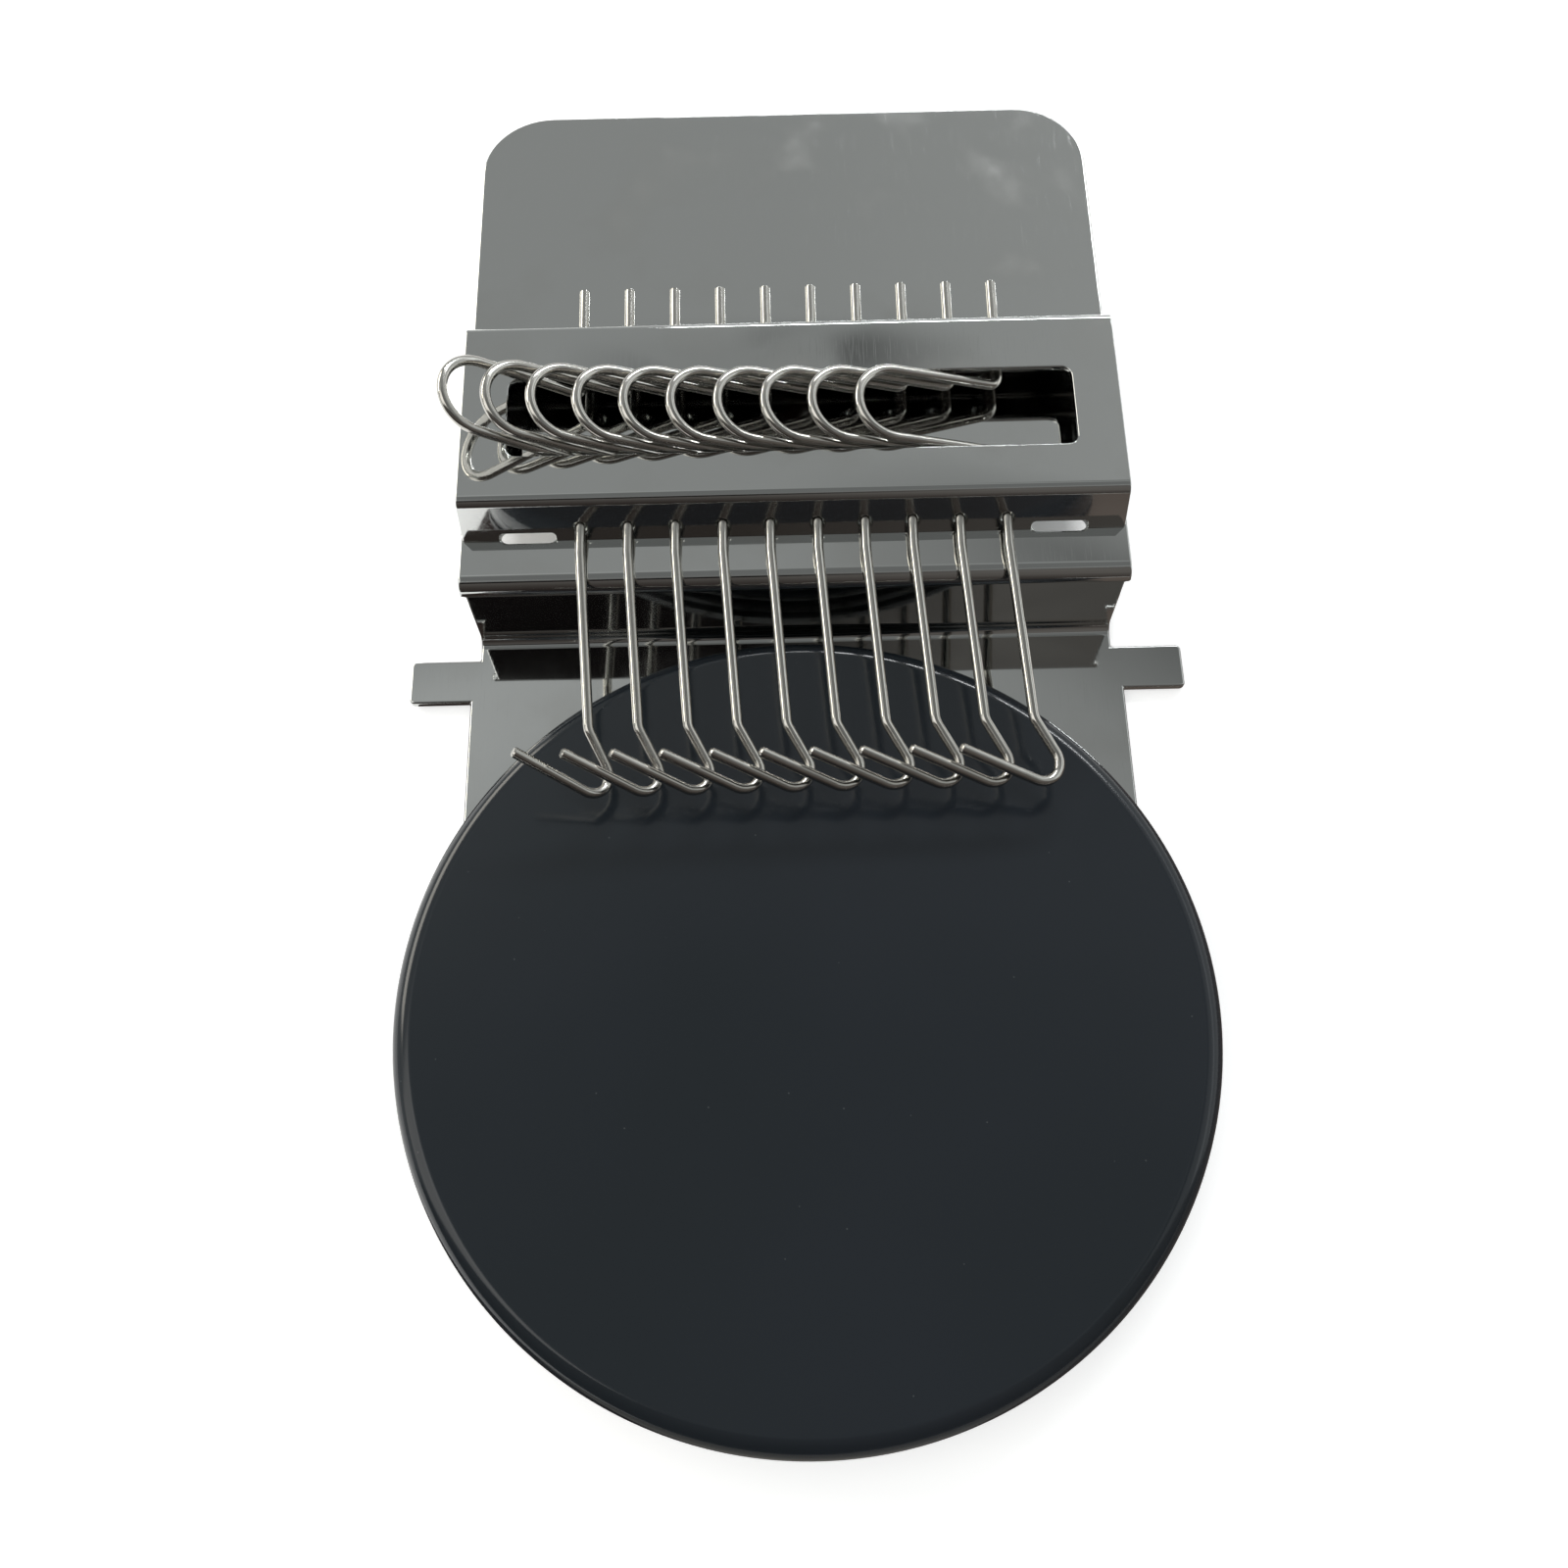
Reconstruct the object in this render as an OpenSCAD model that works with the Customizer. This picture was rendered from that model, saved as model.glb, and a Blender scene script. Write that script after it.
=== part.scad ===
// Darning loom: a sheet-metal head with a row of bent-wire hooks that flip over together,
// and a round darning disc that lies on the head's tongue.
// Millimetres, +Z up, +Y from the disc towards the finger tab.
// The origin is on the table, in the middle of the loom's footprint.

/* [Darning disc] */
// Diameter of the disc
disc_d = 70; // [60:0.5:90]
// Thickness of the disc
disc_t = 5.5; // [4.5:0.1:7]
// Rounding of the disc's upper edge
disc_edge_r = 1.8; // [1:0.1:2]
// Rounding of the disc's lower edge
disc_foot_r = 0.8; // [0.4:0.1:1]
// Width of the elastic's groove round the rim
groove_w = 1.6; // [1:0.1:2]
// Depth of the elastic's groove
groove_depth = 0.4; // [0.2:0.05:0.6]
// Gap between the disc's rim and the head's wall
disc_gap = 3.3; // [1:0.1:6]

/* [Body sheet: tongue and ears] */
// Thickness of the body sheet
sheet_t = 0.8; // [0.6:0.05:1]
// Length of the tongue under the disc, from the head's wall to its free end
tongue_len = 46; // [40:0.5:60]
// Rounding of the tongue's free corners
tongue_corner_r = 6; // [2:0.5:10]
// Width that the tongue has beyond the deck on each side
tongue_margin = 0.3; // [0.2:0.1:2]
// How far each ear stands out from the tongue's side
ear_reach = 5.8; // [4:0.1:8]
// Width of each ear along the loom
ear_w = 4.4; // [3:0.1:6]
// Distance from the head's wall to the ears
ear_setback = 2.1; // [1:0.1:4]
// Rounding of the ears' corners
ear_corner_r = 0.5; // [0.2:0.1:1]

/* [Body sheet: wall, deck and finger tab] */
// Inside radius of the bend between the tongue and the wall
fold_r = 1; // [0.4:0.1:1.5]
// Height of the deck's upper face above the table
deck_top = 10.8; // [10:0.1:15]
// Inside radius of the bend between the deck and its wall
deck_bend_r = 0.7; // [0.3:0.05:2]
// How far the wall's and the bend's sides stand back from the deck's
wall_inset = 0.5; // [0.2:0.1:1]
// Width of the bare ledge between the wall and the cover
ledge_d = 4.87; // [4:0.01:8]
// Width that the deck has beyond the cover on each side
deck_margin = 0.3; // [0:0.1:1]
// Length of the finger tab behind the cover
tab_len = 29.5; // [20:0.1:40]
// Rounding of the finger tab's corners
tab_corner_r = 7; // [3:0.5:10]
// Width of each of the two slots in the deck at the cover's foot
slot_w = 5.1; // [4:0.1:7]
// Length of a slot along the loom
slot_d = 1.45; // [1.2:0.05:2]
// How far a slot reaches out in front of the cover's foot
slot_reach = 0.1; // [0.05:0.05:0.4]
// Distance from a slot's middle to the cover's side
slot_inset = 6; // [5:0.1:8]

/* [Cover plate] */
// Thickness of the cover plate
cover_t = 0.5; // [0.4:0.05:0.6]
// Height of the cover's upper face above the deck
cover_h = 4.3; // [4:0.1:6]
// Inside radius of the cover's rear bends
cover_bend_r = 0.3; // [0.2:0.05:0.5]
// Inside radius of the cover's front bend
front_bend_r = 0.6; // [0.2:0.05:1]
// Steepness of the cover's front flange, where 90 is upright
front_pitch = 70; // [60:1:80]
// Width of the rear lip that is welded to the deck
rear_lip = 1.6; // [1:0.1:3]
// Width of the cover between its front bend and the window
front_strip = 4.05; // [3.5:0.05:7]
// Width of the cover between the window and its rear bend
rear_strip = 5.35; // [3.5:0.05:7]
// Width of the cover beside the window
side_strip = 4.3; // [3:0.05:8]
// Distance from the outer hooks' axes to the window's ends
window_reach = 6.6; // [6:0.05:8]
// Rounding of the window's corners
window_corner_r = 1; // [0.4:0.1:1.5]
// Gap between a loop's legs and the window's long sides
window_gap = 0.22; // [0.15:0.01:0.6]
// Height of the notch in the cover's foot over each slot
notch_h = 0.8; // [0.6:0.05:1.2]
// Rounding of a notch's upper corners
notch_corner_r = 0.4; // [0.2:0.05:0.6]

/* [Hooks] */
// Number of hooks
hook_count = 10; // [4:1:16]
// Distance between neighbouring hooks
hook_pitch = 4.31; // [3.6:0.01:6]
// Diameter of the hooks' wire
wire_d = 0.95; // [0.7:0.05:1.1]
// Gap all round the wire in its holes
hole_gap = 0.15; // [0.08:0.01:0.2]
// Height of the hooks' axes above the deck at the cover's front flange
axis_h = 1.27; // [1.2:0.01:1.6]
// Rise of the hooks' axes towards the finger tab
axis_slope = 4; // [0:0.5:5]
// Lean of the first resting loop, which stands highest
first_lean = 35; // [28:1:38]
// Lean that the resting loops come down to along the row
low_lean = 17; // [16:0.5:20]
// Share of its extra lean that a resting loop's right neighbour still has
fan_keep = 0.7; // [0.68:0.01:0.85]
// Distance between a loop's two legs
loop_w = 7; // [5:0.1:10]
// Reach of a loop's crown from the hook's axis
loop_reach = 13.9; // [11:0.1:15]
// Bend radius at the roots of a loop's legs
root_r = 1; // [0.8:0.1:1.2]
// Length of the pin that stands out behind the cover
pin_len = 4.6; // [2:0.1:8]
// Length of straight wire in front of the cover's front flange
straight_len = 2.45; // [2.2:0.05:3.5]
// Sideways lean of the hook's shaft
shaft_lean = 4; // [0:0.5:6]
// Length of the leaning shaft
shaft_len = 16.4; // [12:0.1:22]
// Turn from the shaft into the neck
neck_turn = 27; // [15:1:35]
// Length of the neck
neck_len = 3.2; // [1.2:0.1:4]
// Bend radius of the neck
neck_r = 1.5; // [1:0.1:2]
// Bend radius of the hook's crook
crook_r = 1.8; // [1.2:0.1:2]
// Turn of the crook, from the neck into the hook's bar
crook_turn = 140; // [110:1:150]
// Length of the hook's bar
bar_len = 7.1; // [4:0.1:8]
// Length of the rounded-off stretch at each end of the wire
wire_end = 0.12; // [0.05:0.01:0.2]

/* [Hidden] */
$fn = 72;
steel_colour = "#8b8e8d";
wire_colour = "#b9b6ae";
disc_colour = "#262a30";

// Names of the hooks, numbered from the left with two digits
function hook_name(i) = str("hook_", i < 9 ? "0" : "", i + 1);

// Widths, from the row of hooks outwards
row_w = (hook_count - 1) * hook_pitch;
window_w = row_w + 2 * window_reach;
cover_w = window_w + 2 * side_strip;
deck_w = cover_w + 2 * deck_margin;
tongue_w = deck_w + 2 * tongue_margin;
ear_span = tongue_w + 2 * ear_reach;

// Places along Y, counted from the disc's centre towards the finger tab
wall_y = disc_d / 2 + disc_gap;
ear_y = wall_y - ear_setback;
foot_y = wall_y + ledge_d;

// The cover's flanges; the front one stands on the deck at its foot
front_out_r = front_bend_r + cover_t;
front_flange = (cover_h - front_out_r * (1 - cos(front_pitch))) / sin(front_pitch);
front_run = front_out_r * sin(front_pitch) + front_flange * cos(front_pitch);
rear_flange = cover_h - 2 * cover_bend_r - 2 * cover_t;

window_d = loop_w + wire_d + 2 * window_gap;
cover_y = foot_y + front_run;
window_y = cover_y + front_strip;
cover_top_d = front_strip + window_d + rear_strip;
rear_face_y = cover_y + cover_top_d + cover_bend_r + cover_t;
tab_y = rear_face_y + tab_len;

// Middle of the footprint, so that the disc's near rim and the tab's end are equally far from the origin
disc_y = (disc_d / 2 - tab_y) / 2;

// The hooks' axes pass through axis_y, axis_z at the front flange; along_axis turns a place in Y into a length on them
axis_y = foot_y + axis_h / tan(front_pitch);
axis_z = deck_top + axis_h;
function along_axis(y) = (y - axis_y) / cos(axis_slope);
function axis_height(y) = axis_z + (y - axis_y) * tan(axis_slope);

// A loop stands in the middle of the window at the height of the cover
cover_z = deck_top + cover_h;
window_mid_y = window_y + window_d / 2;
loop_shift = (cover_z - axis_height(window_mid_y)) * tan(axis_slope);
loop_mid = along_axis(window_mid_y + loop_shift);

// Lean of a resting loop: each loop lies on its right neighbour, so the row fans up towards its first hook
function rest_lean(i) = low_lean + (first_lean - low_lean) * pow(fan_keep, i);

// One hook as a bent wire, from the pin's end to the bar's tip: straight length, turn, bend radius
pin_end = along_axis(rear_face_y) + pin_len;
loop_crown_r = loop_w / 2;
leg_len = loop_reach - loop_crown_r - root_r;
hook_steps = [
    [pin_end - loop_mid - loop_w / 2 - root_r, 90, root_r],
    [leg_len, -180, loop_crown_r],
    [leg_len, 90, root_r],
    [loop_mid - loop_w / 2 - root_r + straight_len, -shaft_lean, neck_r],
    [shaft_len, -neck_turn, neck_r],
    [neck_len, crook_turn, crook_r],
    [bar_len, 0, 0]
];

// Moves a piece from places counted from the disc's centre to the loom's frame
module in_frame() {
    translate([0, disc_y, 0]) children();
}

// Extrudes a side view, drawn with Y to the right and Z up, across the loom
module across(width) {
    rotate([90, 0, 90]) linear_extrude(width, center = true) children();
}

// Rectangle with corners rounded by rn at the near side and rf at the far side
module plan(width, y0, y1, rn, rf) {
    difference() {
        translate([-width / 2, y0]) square([width, y1 - y0]);
        for (side = [-1, 1]) {
            if (rn > 0) translate([side * width / 2, y0]) corner_cut(side, 1, rn);
            if (rf > 0) translate([side * width / 2, y1]) corner_cut(side, -1, rf);
        }
    }
}

// What a rounded corner takes away from a square one at the origin; sx points outwards and sy inwards
module corner_cut(sx, sy, r) {
    difference() {
        square(2 * r, center = true);
        translate([-sx * r, sy * r]) circle(r);
    }
}

// A number as the CSG file prints it, with six digits
function printed(v) = let (m = pow(10, 5 - floor(log(max(abs(v), 1e-9))))) round(v * m) / m;

// Turn about Z that puts back what those six digits lose, so that the two sides of a bend meet exactly
module exact_turn(angle) {
    lost = (angle - atan2(printed(sin(angle)), printed(cos(angle)))) * PI / 180;
    rotate(angle)
        multmatrix([[1, -lost, 0, 0], [lost, 1, 0, 0], [0, 0, 1, 0], [0, 0, 0, 1]]) children();
}

// Part of a ring, as the side view of a bend about the origin that starts straight below it
module bend_view(r, t, angle) {
    reach = 2 * (r + t);
    intersection() {
        difference() {
            circle(r + t);
            circle(r);
        }
        translate([0, -reach]) square([reach, 2 * reach]);
        exact_turn(angle) translate([-reach, -reach]) square([reach, 2 * reach]);
    }
}

// Side view of a folded sheet that starts along +X with its thickness to the left:
// each step is a straight length, a turn to the left in degrees and an inside radius
module fold_view(steps, t, i = 0) {
    length = steps[i][0];
    turn = steps[i][1];
    r = steps[i][2];
    square([length, t]);
    if (i + 1 < len(steps)) {
        centre = turn > 0 ? t + r : -r;
        translate([length, centre]) {
            if (turn > 0) bend_view(r, t, turn);
            else mirror([0, 1]) bend_view(r, t, -turn);
            exact_turn(turn) translate([0, -centre]) fold_view(steps, t, i + 1);
        }
    }
}

// Wire that starts along +X and bends in the XY plane, with the steps of hook_steps
module bent_wire(steps, d, i = 0) {
    length = steps[i][0];
    turn = steps[i][1];
    r = steps[i][2];
    rotate([0, 90, 0]) cylinder(d = d, h = length);
    if (i + 1 < len(steps)) {
        side = turn > 0 ? 1 : -1;
        translate([length, side * r, 0]) {
            if (turn != 0) mirror([0, side > 0 ? 0 : 1, 0])
                rotate(-90) rotate_extrude(angle = abs(turn)) translate([r, 0]) rotate(-90) circle(d = d);
            exact_turn(turn) translate([0, -side * r, 0]) bent_wire(steps, d, i + 1);
        }
    } else {
        translate([length, 0, 0]) wire_tip(d);
    }
}

// Rounded-off end of a cut wire, along +X
module wire_tip(d) {
    rotate([0, 90, 0]) cylinder(d1 = d, d2 = d - 2 * wire_end, h = wire_end);
}

// Places children at hook i's axis, with +X along the axis towards the disc and +Y along the resting loop
module on_hook_axis(i) {
    translate([i * hook_pitch - row_w / 2, axis_y, axis_z])
        rotate([axis_slope, 0, 0]) rotate([0, 180 + rest_lean(i), 0]) rotate(-90) children();
}

// One bent sheet: a tongue with two ears that goes under the disc, a wall bent up from it,
// and a deck bent back from the wall that ends in the finger tab, with two slots at the cover's foot
module body_plate() {
    deck_bend_out = deck_bend_r + sheet_t;
    wall_top = deck_top - deck_bend_out;
    fold_start = ear_y - ear_w;
    color(steel_colour) in_frame() {
        linear_extrude(sheet_t) {
            plan(tongue_w, wall_y - tongue_len, ear_y, tongue_corner_r, 0);
            plan(ear_span, ear_y - ear_w, ear_y, ear_corner_r, ear_corner_r);
        }
        difference() {
            across(deck_w) translate([fold_start, 0]) fold_view([
                [wall_y - fold_r - fold_start, 90, fold_r],
                [wall_top - sheet_t - fold_r, -90, deck_bend_r],
                [tab_y - wall_y - deck_bend_out, 0, 0]
            ], sheet_t);
            for (side = [-1, 1]) {
                translate([side * deck_w / 2, tab_y, deck_top - 2 * sheet_t])
                    linear_extrude(3 * sheet_t) corner_cut(side, -1, tab_corner_r);
                translate([side * deck_w / 2 - wall_inset, fold_start + ear_w / 2, -sheet_t])
                    cube([2 * wall_inset, ear_w / 2 + ear_setback + 2 * sheet_t, wall_top + sheet_t]);
            }
            at_slots() deck_slot();
        }
    }
}

// Places children at the cover's foot in the middle of the two slots
module at_slots() {
    slot_x = cover_w / 2 - slot_inset;
    for (side = [-1, 1]) translate([side * slot_x, foot_y, deck_top]) children();
}

// Round-ended cut through the deck
module deck_slot() {
    straight = slot_w - slot_d;
    translate([0, slot_d / 2 - slot_reach, -2 * sheet_t]) linear_extrude(3 * sheet_t) {
        square([straight, slot_d], center = true);
        for (side = [-1, 1]) translate([side * straight / 2, 0]) circle(d = slot_d);
    }
}

// Cut in the foot of the cover's front flange that lays a slot open
module foot_notch() {
    translate([0, front_run, 0]) rotate([90, 0, 0]) linear_extrude(front_run + cover_t) difference() {
        translate([-slot_w / 2, -cover_t]) square([slot_w, notch_h + cover_t]);
        for (side = [-1, 1]) translate([side * slot_w / 2, notch_h]) corner_cut(side, -1, notch_corner_r);
    }
}

// Shallow hat over the hooks' axes, with a long window for the loops and rows of holes in both flanges
module cover_plate() {
    color(steel_colour) in_frame() difference() {
        across(cover_w) translate([foot_y, deck_top]) exact_turn(front_pitch) translate([-cover_t, -cover_t])
            fold_view([
                [front_flange + cover_t, -front_pitch, front_bend_r],
                [cover_top_d, -90, cover_bend_r],
                [rear_flange, 90, cover_bend_r],
                [rear_lip, 0, 0]
            ], cover_t);
        translate([-cover_w, foot_y - cover_t, deck_top - 2 * cover_t]) cube([2 * cover_w, 3 * cover_t, 2 * cover_t]);
        translate([0, 0, cover_z - 2 * cover_t]) linear_extrude(3 * cover_t)
            plan(window_w, window_y, window_y + window_d, window_corner_r, window_corner_r);
        for (i = [0 : hook_count - 1]) on_hook_axis(i) hook_hole();
        at_slots() foot_notch();
    }
}

// Cut for one hook's axis through both flanges
module hook_hole() {
    rotate([0, 90, 0]) translate([0, 0, -pin_end])
        cylinder(d = wire_d + 2 * hole_gap, h = pin_end + straight_len);
}

// One hook: pin, loop, shaft and crook in a single plane
module hook(i) {
    color(wire_colour) in_frame() on_hook_axis(i) translate([-pin_end, 0, 0]) {
        bent_wire(hook_steps, wire_d);
        rotate(180) wire_tip(wire_d);
    }
}

// Round disc with softened edges and a shallow groove for the elastic
module darning_disc() {
    groove_r = (groove_w * groove_w / 4 + groove_depth * groove_depth) / (2 * groove_depth);
    rim_r = disc_d / 2;
    groove_z = (disc_foot_r + disc_t - disc_edge_r) / 2;
    color(disc_colour) in_frame() translate([0, 0, sheet_t]) rotate_extrude() difference() {
        square([rim_r, disc_t]);
        translate([rim_r, disc_t]) corner_cut(1, -1, disc_edge_r);
        translate([rim_r, 0]) corner_cut(1, 1, disc_foot_r);
        translate([rim_r - groove_depth + groove_r, groove_z]) circle(groove_r);
    }
}

body_plate();
cover_plate();
darning_disc();
for (i = [0 : hook_count - 1])
    hook(i);
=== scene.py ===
"""Looks of the darning loom: a polished sheet-metal head, a row of bent-wire hooks and a dark disc.

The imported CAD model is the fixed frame. The sheets are shown by copies with softly broken edges, the
disc is turned anew in finer steps, the wires keep their CAD shapes, and every surface gets a
procedural finish. Lengths are in metres and angles in radians.
"""

import logging
import math
from dataclasses import dataclass, field
from enum import Enum

import bpy
from mathutils import Euler, Matrix, Vector

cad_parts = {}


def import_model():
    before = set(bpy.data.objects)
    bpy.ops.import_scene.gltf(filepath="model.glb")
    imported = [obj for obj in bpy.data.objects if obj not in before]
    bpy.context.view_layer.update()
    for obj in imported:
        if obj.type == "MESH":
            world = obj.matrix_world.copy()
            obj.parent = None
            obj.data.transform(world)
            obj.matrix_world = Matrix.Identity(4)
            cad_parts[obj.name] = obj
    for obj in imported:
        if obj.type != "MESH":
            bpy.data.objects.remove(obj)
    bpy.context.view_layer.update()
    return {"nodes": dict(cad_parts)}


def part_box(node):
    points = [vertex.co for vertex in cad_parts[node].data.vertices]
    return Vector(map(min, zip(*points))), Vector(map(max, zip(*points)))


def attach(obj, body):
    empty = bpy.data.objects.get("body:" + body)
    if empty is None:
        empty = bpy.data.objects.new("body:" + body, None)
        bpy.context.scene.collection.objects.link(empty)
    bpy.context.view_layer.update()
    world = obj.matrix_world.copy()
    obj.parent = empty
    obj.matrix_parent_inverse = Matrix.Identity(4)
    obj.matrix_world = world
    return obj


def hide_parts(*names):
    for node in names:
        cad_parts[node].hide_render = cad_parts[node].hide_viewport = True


LOG = logging.getLogger("darning_loom")
MM = 0.001
# A share that grows over a range, and one that fades over it.
GROWING = (0.0, 1.0)
FADING = (1.0, 0.0)
# Height of the dim cards, painted reflections of the table, that lie on the table just above the floor.
TABLE_LEVEL = -0.1 * MM

Colour = tuple[float, float, float]
Point = tuple[float, float, float]
Span = tuple[float, float]
Stops = tuple[tuple[float, Colour | float], ...]
Value = bpy.types.NodeSocket | float | tuple[float, ...]


class Slot(Enum):
    """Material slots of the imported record."""

    STEEL = "polished_steel"
    WIRE = "hook_wire"
    PLASTIC = "disc_plastic"


class Graph:
    """Node tree that is filled by short calls."""

    # Places of the colour sockets on the Mix node.
    MIX_SHARE, MIX_LOW, MIX_HIGH, MIX_RESULT = 0, 6, 7, 2
    # Detail of a noise with hardly any finer layers.
    COARSE = 1.0

    def __init__(self, tree: bpy.types.NodeTree) -> None:
        """Starts from an empty tree.

        Args:
            tree: The node tree of a material or of the world.
        """
        self.tree = tree
        self.tree.nodes.clear()

    def add(self, kind: str, **settings: object) -> bpy.types.Node:
        """Adds a node.

        Args:
            kind: Name of the node's type, without its ShaderNode prefix.
            settings: Properties of the node, such as operation.

        Returns:
            The new node.
        """
        node = self.tree.nodes.new("ShaderNode" + kind)
        for name, value in settings.items():
            setattr(node, name, value)
        return node

    def feed(self, socket: bpy.types.NodeSocket, value: Value) -> None:
        """Links an output to a socket, or sets a constant on it.

        Args:
            socket: The input that is fed.
            value: Another node's output, or a number, colour or vector.
        """
        if isinstance(value, bpy.types.NodeSocket):
            self.tree.links.new(value, socket)
        else:
            socket.default_value = value

    def math(self, operation: str, a: Value, b: Value = 0.0) -> bpy.types.NodeSocket:
        """Joins two values by arithmetic.

        Args:
            operation: Operation of the Math node.
            a: First value.
            b: Second value.

        Returns:
            The result's socket.
        """
        node = self.add("Math", operation=operation)
        self.feed(node.inputs[0], a)
        self.feed(node.inputs[1], b)
        return node.outputs[0]

    def chain(self, operation: str, first: Value, *others: Value) -> Value:
        """Joins several values by the same arithmetic, one after the other.

        Args:
            operation: Operation of the Math nodes.
            first: First value.
            others: The values that follow.

        Returns:
            The result's socket.
        """
        for other in others:
            first = self.math(operation, first, other)
        return first

    def place(self, scale: Point = (1, 1, 1)) -> bpy.types.NodeSocket:
        """Object coordinates, stretched per axis.

        Args:
            scale: Factor on each axis.

        Returns:
            The coordinates' socket.
        """
        coords = self.add("TexCoord").outputs["Object"]
        if scale == (1, 1, 1):
            return coords
        mapping = self.add("Mapping")
        self.feed(mapping.inputs["Vector"], coords)
        self.feed(mapping.inputs["Scale"], scale)
        return mapping.outputs[0]

    def split(self, vector: bpy.types.NodeSocket) -> tuple[bpy.types.NodeSocket, ...]:
        """Takes a vector apart.

        Args:
            vector: The vector's socket.

        Returns:
            The sockets of its X, Y and Z.
        """
        node = self.add("SeparateXYZ")
        self.feed(node.inputs[0], vector)
        return tuple(node.outputs)

    def noise(self, grain: float, detail: float = 2.0,
              place: bpy.types.NodeSocket | None = None) -> bpy.types.NodeSocket:
        """Soft noise.

        Args:
            grain: Size of its patches.
            detail: Number of finer layers.
            place: Coordinates, or None for plain object coordinates.

        Returns:
            The noise value's socket.
        """
        node = self.add("TexNoise")
        self.feed(node.inputs["Vector"], place or self.place())
        self.feed(node.inputs["Scale"], 1 / grain)
        self.feed(node.inputs["Detail"], detail)
        return node.outputs["Fac"]

    def spread(self, value: Value, source: Span, target: Span) -> bpy.types.NodeSocket:
        """Maps a value from one range to another and holds it there.

        Args:
            value: The value.
            source: Range that it comes from.
            target: Range that it goes to.

        Returns:
            The mapped value's socket.
        """
        node = self.add("MapRange")
        self.feed(node.inputs["Value"], value)
        for name, number in zip(("From Min", "From Max", "To Min", "To Max"), source + target):
            self.feed(node.inputs[name], number)
        return node.outputs[0]

    def tint(self, amount: Value, low: Colour, high: Colour) -> bpy.types.NodeSocket:
        """Colour between two colours.

        Args:
            amount: Share of the second colour.
            low: First colour.
            high: Second colour.

        Returns:
            The colour's socket.
        """
        return self.blend(amount, (*low, 1), (*high, 1))

    def blend(self, amount: Value, low: Value, high: Value) -> bpy.types.NodeSocket:
        """Mix of two colours that may come from other nodes.

        Args:
            amount: Share of the second colour.
            low: First colour's socket or its four numbers.
            high: Second colour's socket or its four numbers.

        Returns:
            The colour's socket.
        """
        node = self.add("Mix", data_type="RGBA")
        self.feed(node.inputs[self.MIX_SHARE], amount)
        self.feed(node.inputs[self.MIX_LOW], low)
        self.feed(node.inputs[self.MIX_HIGH], high)
        return node.outputs[self.MIX_RESULT]

    def ramp(self, value: Value, stops: Stops) -> bpy.types.NodeSocket:
        """Colour that runs through a few stops.

        Args:
            value: Place on the ramp, from 0 to 1.
            stops: Pairs of a place and a colour or a grey level.

        Returns:
            The colour's socket.
        """
        node = self.add("ValToRGB")
        self.feed(node.inputs[0], value)
        elements = node.color_ramp.elements
        while len(elements) < len(stops):
            elements.new(1.0)
        for element, (place, colour) in zip(elements, stops):
            element.position = place
            element.color = (*colour, 1) if isinstance(colour, tuple) else (colour, colour, colour, 1)
        return node.outputs[0]

    def bump(self, height: Value, depth: float,
             under: bpy.types.NodeSocket | None = None) -> bpy.types.NodeSocket:
        """Normal of a surface with a height on it.

        Args:
            height: Height from 0 to 1.
            depth: Depth that 1 stands for.
            under: Normal that the bump is added to.

        Returns:
            The normal's socket.
        """
        node = self.add("Bump")
        self.feed(node.inputs["Strength"], 1.0)
        self.feed(node.inputs["Distance"], depth)
        self.feed(node.inputs["Height"], height)
        if under is not None:
            self.feed(node.inputs["Normal"], under)
        return node.outputs[0]

    def shine(self, **sockets: Value) -> None:
        """Ends a material's tree in a Principled shader.

        Args:
            sockets: Values by socket name, with underscores for blanks.
        """
        shader = self.add("BsdfPrincipled")
        for name, value in sockets.items():
            self.feed(shader.inputs[name.replace("_", " ")], value)
        self.surface(shader)

    def surface(self, shader: bpy.types.Node, output: str = "OutputMaterial") -> None:
        """Ends a tree in a shader.

        Args:
            shader: The shader's node.
            output: Type of the output node.
        """
        self.feed(self.add(output).inputs["Surface"], shader.outputs[0])


def new_material(name: str) -> tuple[bpy.types.Material, Graph]:
    """Makes an empty material.

    Args:
        name: The material's name.

    Returns:
        The material and its graph.
    """
    material = bpy.data.materials.new(name)
    material.use_nodes = True
    return material, Graph(material.node_tree)


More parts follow.
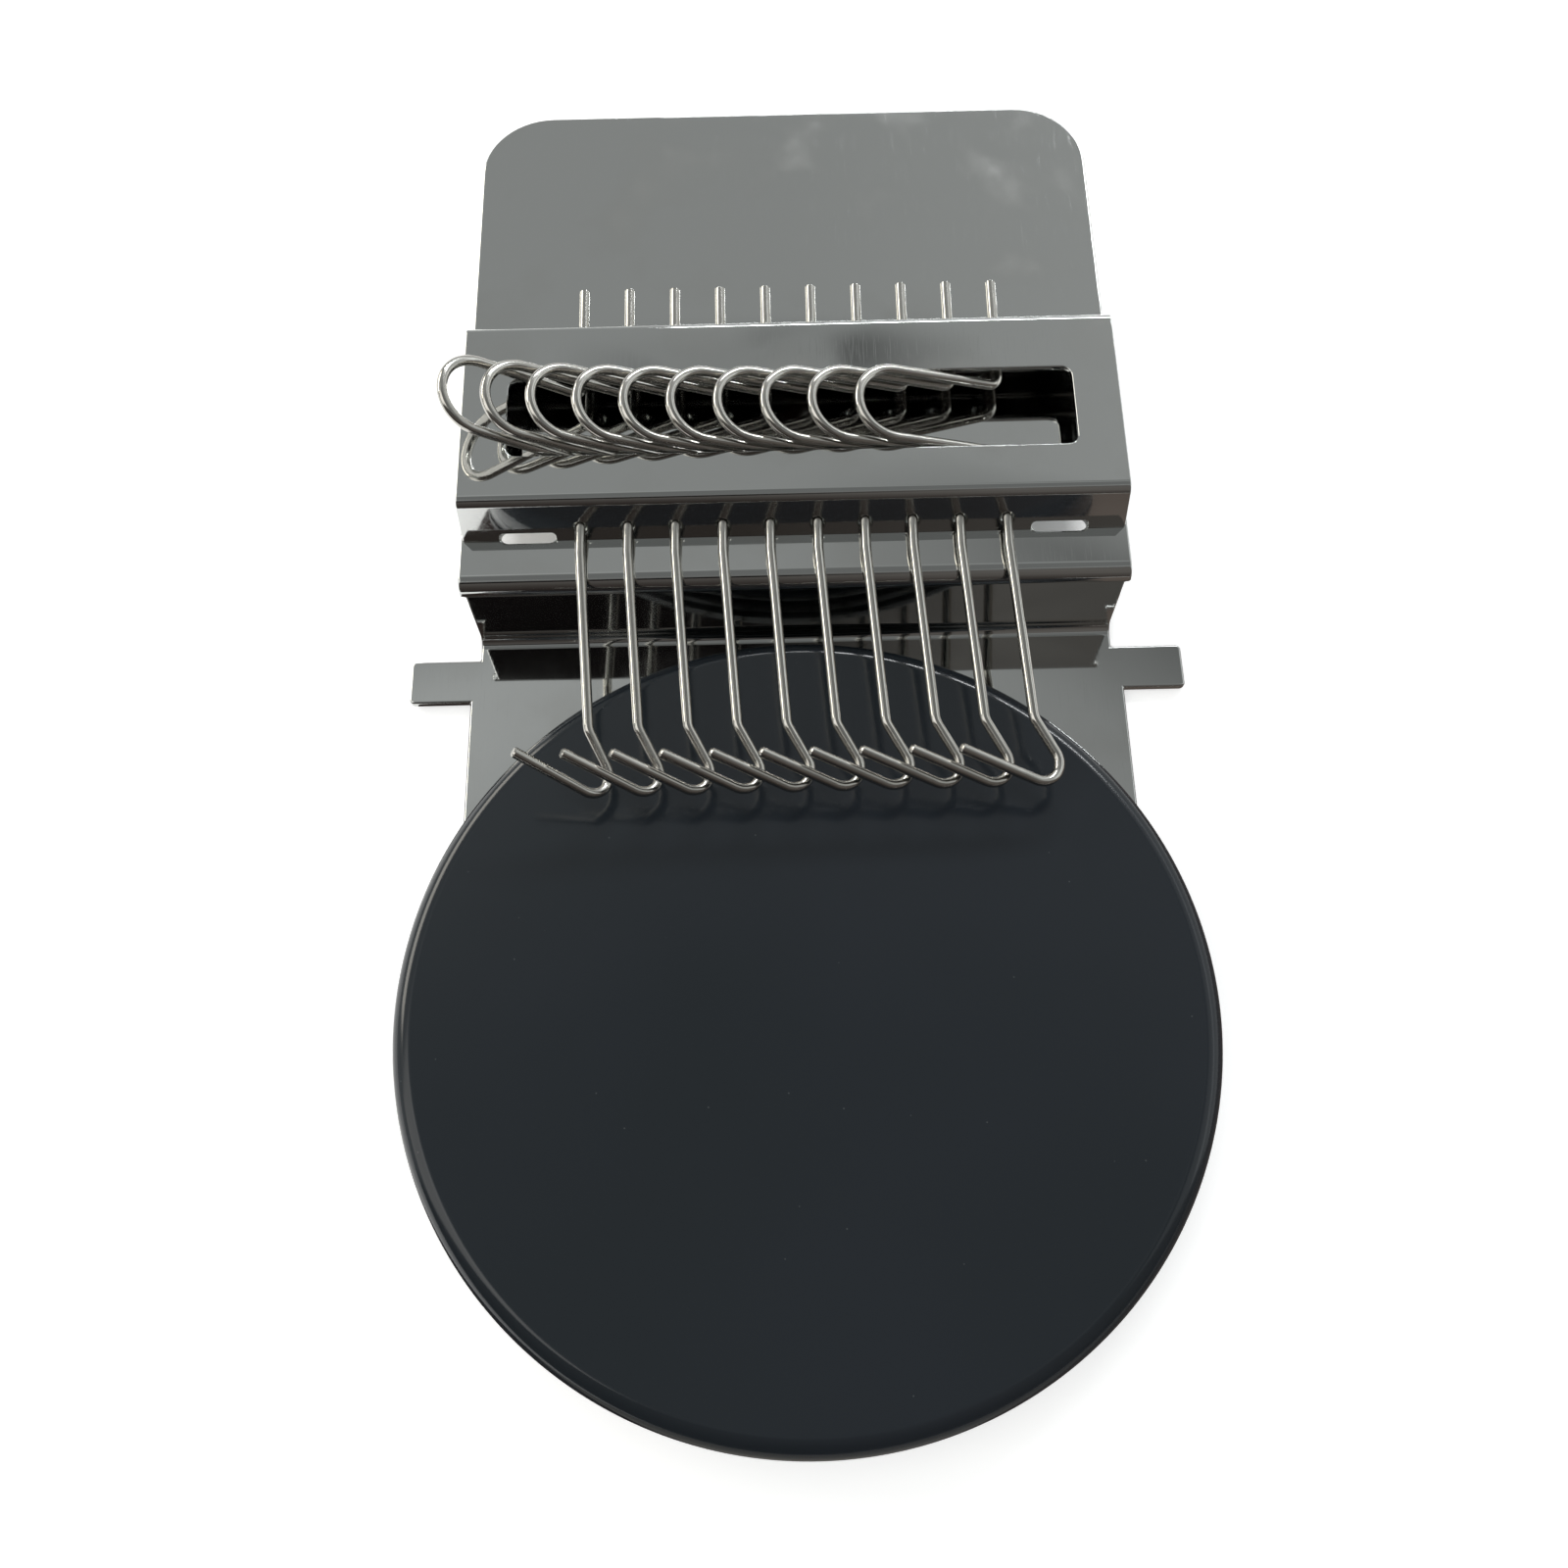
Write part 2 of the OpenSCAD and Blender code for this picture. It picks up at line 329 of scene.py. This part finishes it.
@dataclass(frozen=True)
class PolishedSteel:
    """Mirror-polished sheet with the slight ripple, smudges and hairlines that polishing leaves."""

    colour: Colour = (0.60, 0.61, 0.60)
    smudge_colour: Colour = (0.57, 0.575, 0.56)
    roughness: Span = (0.035, 0.11)
    smudge_size: float = 9 * MM
    smudge_detail: float = 4.0
    smudge_range: Span = (0.52, 0.72)
    ripple_size: float = 16 * MM
    ripple_depth: float = 0.05 * MM
    hairline_width: float = 0.05 * MM
    hairline_stretch: float = 0.012
    hairline_range: Span = (0.62, 0.78)
    hairline_depth: float = 0.0006 * MM

    def material(self) -> bpy.types.Material:
        """Builds the material.

        Returns:
            The finish of the sheets.
        """
        material, graph = new_material(Slot.STEEL.value)
        patches = graph.noise(self.smudge_size, self.smudge_detail)
        smudge = graph.spread(patches, self.smudge_range, GROWING)
        lengthwise = graph.place((1, self.hairline_stretch, 1))
        hairline = graph.noise(self.hairline_width, graph.COARSE, lengthwise)
        scratch = graph.spread(hairline, self.hairline_range, GROWING)
        rippled = graph.bump(graph.noise(self.ripple_size, graph.COARSE), self.ripple_depth)
        graph.shine(
            Base_Color=graph.tint(smudge, self.colour, self.smudge_colour),
            Metallic=1.0,
            Roughness=graph.math("MAXIMUM", graph.spread(smudge, GROWING, self.roughness),
                                 graph.spread(scratch, GROWING, self.roughness)),
            Normal=graph.bump(scratch, self.hairline_depth, rippled),
        )
        return material


@dataclass(frozen=True)
class DrawnWire:
    """Bright drawn steel wire, a little warm, with faint drawing marks and dull spots."""

    colour: Colour = (0.54, 0.525, 0.49)
    dull_colour: Colour = (0.48, 0.47, 0.44)
    roughness: Span = (0.16, 0.22)
    spot_size: float = 2.2 * MM
    spot_detail: float = 3.0
    spot_range: Span = (0.45, 0.7)
    mark_size: float = 0.9 * MM
    mark_depth: float = 0.0008 * MM

    def material(self) -> bpy.types.Material:
        """Builds the material.

        Returns:
            The finish of the hooks.
        """
        material, graph = new_material(Slot.WIRE.value)
        spot = graph.spread(graph.noise(self.spot_size, self.spot_detail), self.spot_range, GROWING)
        graph.shine(
            Base_Color=graph.tint(spot, self.colour, self.dull_colour),
            Metallic=1.0,
            Roughness=graph.spread(spot, GROWING, self.roughness),
            Normal=graph.bump(graph.noise(self.mark_size), self.mark_depth),
        )
        return material


@dataclass(frozen=True)
class MouldedPlastic:
    """Dark satin plastic with a fine mould grain, faint clouds and pale specks of dust."""

    colour: Colour = (0.0152, 0.0196, 0.0242)
    cloud_colour: Colour = (0.0162, 0.0205, 0.0266)
    speck_colour: Colour = (0.10, 0.11, 0.115)
    roughness: Span = (0.13, 0.19)
    cloud_size: float = 30 * MM
    cloud_range: Span = (0.35, 0.65)
    grain_size: float = 0.25 * MM
    grain_depth: float = 0.001 * MM
    speck_size: float = 2.4 * MM
    speck_share: float = 0.035

    def material(self) -> bpy.types.Material:
        """Builds the material.

        Returns:
            The finish of the disc.
        """
        material, graph = new_material(Slot.PLASTIC.value)
        cloud = graph.spread(graph.noise(self.cloud_size), self.cloud_range, GROWING)
        base = graph.tint(cloud, self.colour, self.cloud_colour)
        cells = graph.add("TexVoronoi")
        graph.feed(cells.inputs["Vector"], graph.place())
        graph.feed(cells.inputs["Scale"], 1 / self.speck_size)
        speck = graph.spread(cells.outputs["Distance"], (0.0, self.speck_share), FADING)
        graph.shine(
            Base_Color=graph.blend(speck, base, (*self.speck_colour, 1)),
            Roughness=graph.spread(cloud, GROWING, self.roughness),
            Normal=graph.bump(graph.noise(self.grain_size), self.grain_depth),
        )
        return material


def only_select(piece: bpy.types.Object) -> None:
    """Makes one object the only selected and active one.

    Args:
        piece: The object.
    """
    bpy.ops.object.select_all(action="DESELECT")
    piece.select_set(True)
    bpy.context.view_layer.objects.active = piece


def smooth_faces(piece: bpy.types.Object, sharp_angle: float) -> None:
    """Smooths the active piece between its sharp edges and keeps its flat faces even.

    Args:
        piece: The piece, selected and active.
        sharp_angle: Angle from which an edge stays sharp.
    """
    bpy.ops.object.shade_smooth_by_angle(angle=sharp_angle)
    flats = piece.modifiers.new("flats", "WEIGHTED_NORMAL")
    flats.keep_sharp = True
    bpy.ops.object.modifier_apply(modifier=flats.name)


def add_plane(name: str, side: float, place: Vector | Point) -> bpy.types.Object:
    """Adds a level square.

    Args:
        name: The object's name.
        side: Length of its sides.
        place: Its middle.

    Returns:
        The square.
    """
    bpy.ops.object.select_all(action="DESELECT")
    bpy.ops.mesh.primitive_plane_add(size=side, location=place)
    plane = bpy.context.object
    plane.name = name
    return plane


def dress(piece: bpy.types.Object, material: bpy.types.Material) -> None:
    """Gives a piece one material.

    Args:
        piece: The piece.
        material: Its finish.
    """
    piece.data.materials.clear()
    piece.data.materials.append(material)


@dataclass
class SheetHead:
    """The two sheets: the bent body and its cover."""

    nodes: dict[str, bpy.types.Object]
    finish: PolishedSteel = field(default_factory=PolishedSteel)
    body: str = "frame"
    edge_radius: dict[str, float] = field(default_factory=lambda: {
        "body_plate": 0.24 * MM, "cover_plate": 0.14 * MM})
    edge_steps: int = 3
    edge_angle: float = math.radians(60)
    sharp_angle: float = math.radians(50)
    flat_angle: float = math.radians(0.2)
    merge_distance: float = 0.002 * MM

    def build(self) -> list[bpy.types.Object]:
        """Makes a copy of each sheet with broken edges.

        Returns:
            The two pieces.
        """
        return [self.soften(name, radius) for name, radius in self.edge_radius.items()]

    def soften(self, name: str, radius: float) -> bpy.types.Object:
        """Copies one sheet, merges its triangles and rounds its cut edges.

        Args:
            name: The CAD node.
            radius: Radius of the edges.

        Returns:
            The piece that stands for the node.
        """
        piece = bpy.data.objects.new(name + "_polished", self.nodes[name].data.copy())
        bpy.context.scene.collection.objects.link(piece)
        only_select(piece)
        bpy.ops.mesh.customdata_custom_splitnormals_clear()
        bpy.ops.object.mode_set(mode="EDIT")
        bpy.ops.mesh.select_all(action="SELECT")
        bpy.ops.mesh.remove_doubles(threshold=self.merge_distance)
        bpy.ops.mesh.dissolve_limited(angle_limit=self.flat_angle)
        bpy.ops.object.mode_set(mode="OBJECT")
        bevel = piece.modifiers.new("edges", "BEVEL")
        bevel.width = radius
        bevel.segments = self.edge_steps
        bevel.limit_method = "ANGLE"
        bevel.angle_limit = self.edge_angle
        bevel.use_clamp_overlap = False
        bpy.ops.object.modifier_apply(modifier=bevel.name)
        smooth_faces(piece, self.sharp_angle)
        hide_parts(name)
        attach(piece, self.body)
        return piece

    def dress(self, pieces: list[bpy.types.Object]) -> None:
        """Gives the sheets their finish.

        Args:
            pieces: The sheets.
        """
        material = self.finish.material()
        for piece in pieces:
            dress(piece, material)


@dataclass
class HookRow:
    """The ten bent-wire hooks, which keep their CAD shapes."""

    nodes: dict[str, bpy.types.Object]
    finish: DrawnWire = field(default_factory=DrawnWire)
    prefix: str = "hook_"

    def dress(self) -> list[bpy.types.Object]:
        """Gives the wires their finish.

        Returns:
            The hooks.
        """
        material = self.finish.material()
        hooks = [node for name, node in sorted(self.nodes.items()) if name.startswith(self.prefix)]
        for hook in hooks:
            dress(hook, material)
        return hooks


@dataclass
class DarningDisc:
    """The loose disc, turned in finer steps than its CAD mesh, so that its rim mirrors clean lines."""

    node: str = "darning_disc"
    body: str = "disc"
    finish: MouldedPlastic = field(default_factory=MouldedPlastic)
    edge_radius: float = 1.8 * MM
    foot_radius: float = 0.8 * MM
    groove_width: float = 1.6 * MM
    groove_depth: float = 0.4 * MM
    round_points: int = 360
    edge_steps: int = 14
    foot_steps: int = 8
    groove_steps: int = 12
    round_profile: float = 0.5
    sharp_angle: float = math.radians(35)
    level_tolerance: float = 0.01 * MM

    def build(self) -> bpy.types.Object:
        """Turns the disc where its CAD node lies.

        Returns:
            The piece that stands for the node.
        """
        low, high = (Vector(corner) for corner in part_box(self.node))
        bpy.ops.object.select_all(action="DESELECT")
        bpy.ops.mesh.primitive_cylinder_add(vertices=self.round_points, radius=(high.x - low.x) / 2,
                                            depth=high.z - low.z, location=(low + high) / 2)
        piece = bpy.context.object
        piece.name = piece.data.name = self.node + "_turned"
        bpy.ops.object.transform_apply(location=True, rotation=True, scale=True)
        self.cut_groove(piece, low, high)
        self.round_rim(piece, high.z, self.edge_radius, self.edge_steps)
        self.round_rim(piece, low.z, self.foot_radius, self.foot_steps)
        smooth_faces(piece, self.sharp_angle)
        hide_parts(self.node)
        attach(piece, self.body)
        return piece

    def cut_groove(self, piece: bpy.types.Object, low: Vector, high: Vector) -> None:
        """Sinks the elastic's groove, a shallow arc, into the rim.

        Args:
            piece: The plain disc.
            low: Lowest corner of its box.
            high: Highest corner of its box.
        """
        middle = (low + high) / 2
        radius = (high.x - low.x) / 2
        level = (low.z + self.foot_radius + high.z - self.edge_radius) / 2
        half, depth = self.groove_width / 2, self.groove_depth
        arc = (half ** 2 + depth ** 2) / (2 * depth)
        bpy.ops.object.mode_set(mode="EDIT")
        for step in range(self.groove_steps + 1):
            bpy.ops.mesh.select_all(action="SELECT")
            place = (0, 0, level - half + 2 * half * step / self.groove_steps)
            bpy.ops.mesh.bisect(plane_co=place, plane_no=(0, 0, 1))
        bpy.ops.object.mode_set(mode="OBJECT")
        for vertex in piece.data.vertices:
            rise = vertex.co.z - level
            if abs(rise) < half:
                share = (radius + arc - depth - math.sqrt(arc ** 2 - rise ** 2)) / radius
                vertex.co.x = middle.x + (vertex.co.x - middle.x) * share
                vertex.co.y = middle.y + (vertex.co.y - middle.y) * share

    def round_rim(self, piece: bpy.types.Object, level: float, radius: float, steps: int) -> None:
        """Rounds one of the disc's two rims.

        Args:
            piece: The disc.
            level: Height of the rim.
            radius: Radius of its edge.
            steps: Number of facets across the edge.
        """
        bpy.ops.object.mode_set(mode="EDIT")
        bpy.ops.mesh.select_mode(type="EDGE")
        bpy.ops.mesh.select_all(action="DESELECT")
        bpy.ops.object.mode_set(mode="OBJECT")
        points = piece.data.vertices
        for edge in piece.data.edges:
            edge.select = all(abs(points[i].co.z - level) < self.level_tolerance for i in edge.vertices)
        bpy.ops.object.mode_set(mode="EDIT")
        bpy.ops.mesh.bevel(offset_type="OFFSET", offset=radius, segments=steps,
                           profile=self.round_profile, affect="EDGES")
        bpy.ops.object.mode_set(mode="OBJECT")

    def dress(self, piece: bpy.types.Object) -> None:
        """Gives the disc its finish."""
        dress(piece, self.finish.material())


@dataclass(frozen=True)
class Softbox:
    """One soft studio lamp that looks at the loom."""

    name: str
    place: Point
    size: Span
    power: float
    colour: Colour

    def build(self) -> None:
        """Makes the lamp."""
        light = bpy.data.lights.new(self.name, "AREA")
        light.shape = "RECTANGLE"
        light.size, light.size_y = self.size
        light.energy = self.power
        light.color = self.colour
        lamp = bpy.data.objects.new(self.name, light)
        lamp.location = self.place
        lamp.rotation_euler = (-Vector(self.place)).to_track_quat("-Z", "Y").to_euler()
        lamp.visible_camera = False
        bpy.context.scene.collection.objects.link(lamp)


def even(colour: Colour) -> Stops:
    """Stops of a ramp that is one colour all along."""
    return (0.0, colour), (1.0, colour)


@dataclass(frozen=True)
class PaintedReflectionCard:
    """A dim card that glows faintly, shows in the bright metal alone and differs from left to right: a
    painted reflection of the dim room, with a band of painted shade on its left.

    Its foot and head are given by their Y and Z. The stops run from its foot to its head.
    """

    name: str = "painted_reflection_card"
    foot: Span = (-0.11, 0.001)
    head: Span = (-0.30, 0.85)
    middle: float = 0.0
    width: float = 1.2
    # Painted reflection tones from foot to head; the near-black band from 0.36 to 0.55 on the left is
    # painted shade of the camera.
    left: Stops = (
        (0.0, (0.022, 0.017, 0.015)), (0.06, (0.050, 0.042, 0.038)), (0.2, (0.098, 0.090, 0.083)),
        (0.33, (0.110, 0.100, 0.095)), (0.36, (0.006, 0.005, 0.005)), (0.55, (0.006, 0.005, 0.005)),
        (0.58, (0.125, 0.122, 0.118)), (1.0, (0.155, 0.155, 0.150)))
    right: Stops = (
        (0.0, (0.070, 0.060, 0.055)), (0.1, (0.150, 0.138, 0.128)), (1.0, (0.165, 0.160, 0.155)))
    turn: Span = (-0.01, 0.06)
    border_wave_size: float = 60 * MM
    border_wave_range: Span = (0.35, 0.65)
    border_wave_share: Span = (0.8, 1.0)
    plane_side: float = 1.0

    def build(self) -> None:
        """Makes the card, which leans away from the loom or lies on the table."""
        rise = Vector((0, self.head[0] - self.foot[0], self.head[1] - self.foot[1]))
        card = add_plane(self.name, self.plane_side, Vector((self.middle, *self.foot)) + rise / 2)
        card.scale = (self.width, rise.length, 1)
        card.rotation_euler = (math.atan2(rise.z, rise.y), 0, 0)
        # Painted reflection: the card is unseen by the camera, casts no shadow and gives no light to
        # diffuse surfaces.
        card.visible_camera = card.visible_diffuse = card.visible_shadow = False
        dress(card, self.material())

    def material(self) -> bpy.types.Material:
        """Builds the card's painted reflection, which glows faintly and has a soft wavy border where its
        two sides meet.

        Returns:
            The material.
        """
        material, graph = new_material("painted_reflection")
        across, along, _ = graph.split(graph.place())
        # A noise blurs the border between the two sides of the painted reflection.
        border_wave = graph.spread(graph.noise(self.border_wave_size / self.width), self.border_wave_range, self.border_wave_share)
        side = graph.spread(across, self.turn, GROWING)
        share = graph.math("ADD", along, self.plane_side / 2)
        left, right = graph.ramp(share, self.left), graph.ramp(share, self.right)
        glow = graph.add("Emission")
        graph.feed(glow.inputs["Color"], graph.blend(graph.math("MULTIPLY", border_wave, side), left, right))
        graph.surface(glow)
        return material


@dataclass(frozen=True)
class TableReflectionCard(PaintedReflectionCard):
    """A dim card that lies on the table, reaches out to the right and changes tone near its left end: a
    painted reflection of the table.
    """

    middle: float = 0.132
    width: float = 0.336
    turn: Span = (-0.411, -0.286)


@dataclass(frozen=True)
class Sky:
    """World that is pale at the horizon and grey overhead, with a darker zenith and a soft shade.

    Its ranges are parts of a direction of length 1: how far it goes up, or across to the right.
    """

    colour: Colour = (0.97, 1.0, 0.99)
    horizon: float = 0.55
    overhead: float = 0.36
    overhead_range: Span = (0.1, 0.6)
    slope_range: Span = (0.8, 1.0)
    left_slope: Stops = ((0.30, 1.0), (0.425, 0.25), (0.5, 0.25), (0.7, 1.0))
    right_slope: Stops = ((0.125, 1.2), (0.25, 0.05), (0.375, 0.4), (0.45, 0.75), (0.7, 1.0))
    least: float = 0.08
    zenith: float = 0.55
    zenith_range: Span = (0.92, 0.96)
    shade: float = 0.4
    shade_foot: Span = (0.780, 0.790)
    shade_head: Span = (0.797, 0.806)
    shade_side: Span = (0.05, 0.13)
    wave_size: float = 0.08
    wave_range: Span = (0.44, 0.56)
    wave_share: Span = (0.2, 1.0)

    def build(self) -> None:
        """Makes the world."""
        world = bpy.data.worlds.new("studio")
        bpy.context.scene.world = world
        world.use_nodes = True
        graph = Graph(world.node_tree)
        way = graph.add("TexCoord").outputs["Generated"]
        bright = graph.math("MAXIMUM", self.brightness(graph, way), self.least)
        glow = graph.add("Background")
        graph.feed(glow.inputs["Strength"], graph.math("MULTIPLY", bright, self.dimming(graph, way)))
        graph.feed(glow.inputs["Color"], (*self.colour, 1))
        graph.surface(glow, "OutputWorld")

    def brightness(self, graph: Graph, way: bpy.types.NodeSocket) -> bpy.types.NodeSocket:
        """Light from the horizon to overhead, with a slope of its own on each side.

        Args:
            graph: The world's graph.
            way: The direction's socket.

        Returns:
            The brightness.
        """
        across, _, up = graph.split(way)
        sky = graph.spread(up, self.overhead_range, (self.horizon, self.overhead))
        height = graph.spread(up, self.slope_range, GROWING)
        for side, stops in (("MINIMUM", self.left_slope), ("MAXIMUM", self.right_slope)):
            slope = graph.math("SUBTRACT", graph.ramp(height, stops), 1.0)
            sky = graph.math("ADD", sky, graph.math("MULTIPLY", graph.math(side, across, 0.0), slope))
        return sky

    def dimming(self, graph: Graph, way: bpy.types.NodeSocket) -> bpy.types.NodeSocket:
        """Darker zenith and the wavy shade in front of it.

        Args:
            graph: The world's graph.
            way: The direction's socket.

        Returns:
            The share of the light that is left.
        """
        across, _, up = graph.split(way)
        zenith = graph.spread(up, self.zenith_range, (1.0, self.zenith))
        waves = graph.noise(self.wave_size, graph.COARSE, way)
        shade = graph.chain(
            "MULTIPLY",
            graph.spread(up, self.shade_foot, GROWING),
            graph.spread(up, self.shade_head, FADING),
            graph.spread(graph.math("ABSOLUTE", across), self.shade_side, FADING),
            graph.spread(waves, self.wave_range, self.wave_share))
        return graph.math("MULTIPLY", zenith, graph.spread(shade, GROWING, (1.0, self.shade)))


@dataclass(frozen=True)
class PaleFloor:
    """Pale floor that stays white in view, keeps the loom's shadow and lies in shade under the head."""

    side: float = 6.0
    drop: float = 0.3 * MM
    lift: float = 0.6
    paper_colour: Colour = (0.82, 0.82, 0.82)
    pale_colour: Colour = (0.85, 0.85, 0.85)
    paper_grain: float = 20 * MM
    head_side: Span = (27 * MM, 31 * MM)
    head_front: Span = (8 * MM, 11 * MM)
    head_back: Span = (60 * MM, 64 * MM)

    def build(self) -> None:
        """Makes the floor."""
        floor = add_plane("floor", self.side, (0, 0, -self.drop))
        dress(floor, self.material())

    def material(self) -> bpy.types.Material:
        """Builds the floor's paper, which is lifted to white where it is seen and not under the head.

        Returns:
            The material.
        """
        material, graph = new_material("pale_floor")
        paper = graph.add("BsdfDiffuse")
        graph.feed(paper.inputs["Color"],
                   graph.tint(graph.noise(self.paper_grain), self.paper_colour, self.pale_colour))
        path = graph.add("LightPath").outputs
        seen = graph.chain(
            "MAXIMUM", path["Is Camera Ray"], path["Is Glossy Ray"], path["Is Transmission Ray"])
        across, along, _ = graph.split(graph.place())
        open_floor = graph.chain(
            "MAXIMUM",
            graph.spread(graph.math("ABSOLUTE", across), self.head_side, GROWING),
            graph.spread(along, self.head_front, FADING),
            graph.spread(along, self.head_back, GROWING))
        lift = graph.add("Emission")
        graph.feed(lift.inputs["Strength"], graph.chain("MULTIPLY", seen, self.lift, open_floor))
        both = graph.add("AddShader")
        graph.feed(both.inputs[0], paper.outputs[0])
        graph.feed(both.inputs[1], lift.outputs[0])
        graph.surface(both)
        return material


@dataclass(frozen=True)
class PhotoCamera:
    """Pinhole camera at the photograph's place and angle."""

    place: Point = (-1.45 * MM, -63.70 * MM, 138.7 * MM)
    tilt: float = math.radians(22.5)
    roll: float = math.radians(-1.35)
    focal_length: float = 37.125
    sensor: float = 36.0
    near_clip: float = 0.005

    def build(self) -> None:
        """Makes the camera and looks through it."""
        data = bpy.data.cameras.new("camera")
        data.lens = self.focal_length
        data.sensor_width = self.sensor
        data.clip_start = self.near_clip
        camera = bpy.data.objects.new("camera", data)
        turned = Euler((self.tilt, 0, 0)).to_matrix() @ Matrix.Rotation(self.roll, 3, "Z")
        camera.matrix_world = Matrix.Translation(self.place) @ turned.to_4x4()
        bpy.context.scene.collection.objects.link(camera)
        bpy.context.scene.camera = camera


@dataclass
class Studio:
    """Everything round the loom: sky, floor, lamps, dim cards that paint reflections, and camera."""

    sky: Sky = field(default_factory=Sky)
    floor: PaleFloor = field(default_factory=PaleFloor)
    lamps: tuple[Softbox, ...] = (
        Softbox("key_softbox", (-0.75, -0.30, 0.85), (1.0, 1.0), 3.5, (1.0, 0.97, 0.92)),
        Softbox("left_window", (-0.72, 0.50, 0.45), (0.7, 0.30), 3.0, (1.0, 0.95, 0.85)),
        Softbox("right_window", (0.67, 0.505, 0.545), (2.0, 0.12), 0.7, (0.9, 0.96, 1.0)),
        Softbox("back_window", (0.465, 1.476, 1.267), (1.26, 0.10), 11.0, (0.96, 0.98, 1.0)),
    )
    # Dim glowing cards seen only in the metal: painted reflections of the room, the camera's shade and
    # the table.
    cards: tuple[PaintedReflectionCard, ...] = (
        PaintedReflectionCard(),
        TableReflectionCard("painted_table_reflection", (-0.066, TABLE_LEVEL), (0.012, TABLE_LEVEL),
                  left=even((0.036, 0.027, 0.024)), right=even((0.150, 0.125, 0.110))),
        TableReflectionCard("painted_table_edge_reflection", (-0.115, TABLE_LEVEL), (-0.066, TABLE_LEVEL),
                  left=even((0.40, 0.38, 0.34)), right=even((0.30, 0.29, 0.27))),
    )
    camera: PhotoCamera = field(default_factory=PhotoCamera)

    def build(self) -> None:
        """Sets up everything round the loom."""
        for item in (self.sky, self.floor, *self.lamps, *self.cards, self.camera):
            item.build()
        bpy.context.scene.view_settings.view_transform = "Standard"


def main() -> None:
    """Builds and dresses the loom and sets up the studio."""
    logging.basicConfig(level=logging.INFO, format="%(message)s")
    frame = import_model()
    nodes = frame["nodes"]
    Studio().build()
    head = SheetHead(nodes)
    sheets = head.build()
    head.dress(sheets)
    hooks = HookRow(nodes).dress()
    disc = DarningDisc()
    turned = disc.build()
    disc.dress(turned)
    for piece in [*sheets, *hooks, turned]:
        LOG.info("%s: %d faces", piece.name, len(piece.data.polygons))


if __name__ == "__main__":
    main()
